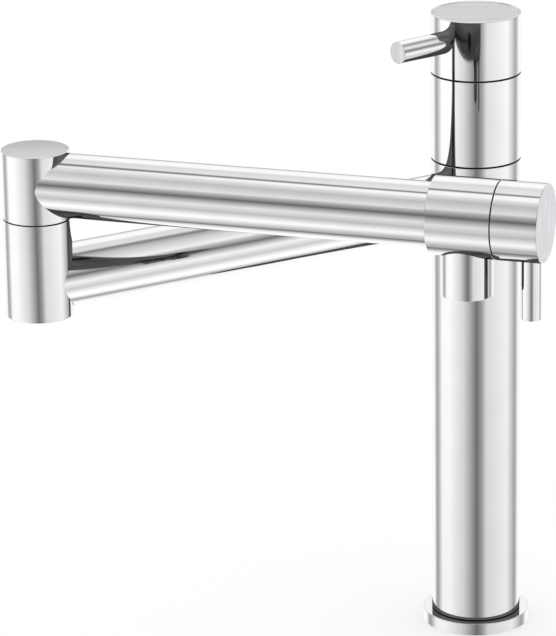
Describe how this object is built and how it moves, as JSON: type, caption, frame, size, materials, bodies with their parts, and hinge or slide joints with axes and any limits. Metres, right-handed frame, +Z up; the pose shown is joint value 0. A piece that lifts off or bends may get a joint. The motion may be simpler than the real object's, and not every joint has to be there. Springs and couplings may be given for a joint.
{
  "type": "kitchen tap",
  "caption": "Deck-mounted kitchen mixer tap: round column, top lever handle, two-jointed swivel spout with a shut-off valve at the outlet.",
  "frame": {"origin": "centre of the base flange's underside, on the deck surface", "axes": "+Z up along the column; -Y towards the person at the sink; +X to that person's right"},
  "size_m": [0.2853, 0.2767, 0.413],
  "materials": {
    "polished_chrome": "polished",
    "satin_chrome": "satin",
    "raw_brass": "machined",
    "copper_tube": "drawn",
    "steel": "zinc plated",
    "black_rubber": "matte",
    "black_slide_plastic": "matte",
    "cartridge_plastic": "moulded",
    "white_ceramic": "lapped"
  },
  "bodies": {
    "column": {"base_flange": "polished_chrome", "base_gasket": "black_rubber", "column_foot": "raw_brass", "threaded_shank": "raw_brass", "deck_rubber_washer": "black_rubber", "deck_clamp_washer": "steel", "backnut": "raw_brass", "column_tube": "polished_chrome", "cold_riser_tube": "copper_tube", "hot_riser_tube": "copper_tube", "swivel_spindle": "raw_brass", "collar_o_rings": "black_rubber", "lower_slide_bush": "black_slide_plastic", "upper_slide_bush": "black_slide_plastic", "mixer_body": "polished_chrome", "cartridge_base": "cartridge_plastic", "cartridge_seals": "black_rubber", "fixed_ceramic_disc": "white_ceramic", "cartridge_housing": "cartridge_plastic", "cartridge_nut": "raw_brass", "handle_slide_ring": "black_slide_plastic"},
    "handle": {"moving_ceramic_disc": "white_ceramic", "cartridge_stem": "cartridge_plastic", "handle_cap": "polished_chrome", "handle_grub_screw": "steel", "handle_lever": "polished_chrome"},
    "rear_arm": {"swivel_collar": "polished_chrome", "rear_tube": "polished_chrome", "lower_elbow": "polished_chrome", "lower_elbow_plug": "polished_chrome", "plug_o_ring": "black_rubber", "pivot_slide_washer": "black_slide_plastic"},
    "front_arm": {"upper_elbow": "polished_chrome", "elbow_cap": "satin_chrome", "elbow_cap_o_ring": "black_rubber", "elbow_pivot": "raw_brass", "pivot_o_rings": "black_rubber", "pivot_thrust_washer": "black_slide_plastic", "pivot_nut": "raw_brass", "front_tube": "polished_chrome", "valve_body": "polished_chrome", "headwork_body": "raw_brass", "headwork_seal": "black_rubber", "valve_fixed_disc": "white_ceramic", "knob_slide_ring": "black_slide_plastic", "outlet_nozzle": "polished_chrome", "aerator_washer": "black_rubber", "aerator_housing": "polished_chrome", "aerator_insert": "cartridge_plastic"},
    "valve_knob": {"valve_moving_disc": "white_ceramic", "headwork_spindle": "raw_brass", "knob_shell": "polished_chrome", "knob_grub_screw": "steel", "valve_lever": "polished_chrome"}
  },
  "joints": [
    {"name": "handle_turn", "type": "hinge", "parent": "column", "child": "handle", "pos_m": [0, 0, 0.3437], "axis": [0, 0, 1], "range_deg": [0, 100]},
    {"name": "collar_swivel", "type": "hinge", "parent": "column", "child": "rear_arm", "pos_m": [0, 0, 0.251], "axis": [0, 0, 1], "continuous": true},
    {"name": "elbow_swivel", "type": "hinge", "parent": "rear_arm", "child": "front_arm", "pos_m": [-0.2364, -0.14148, 0.2858], "axis": [0, 0, 1], "range_deg": [-290, 35]},
    {"name": "valve_turn", "type": "hinge", "parent": "front_arm", "child": "valve_knob", "pos_m": [0.00157, -0.21972, 0.3042], "axis": [-0.95, 0.3123, 0], "range_deg": [0, 90]}
  ]
}
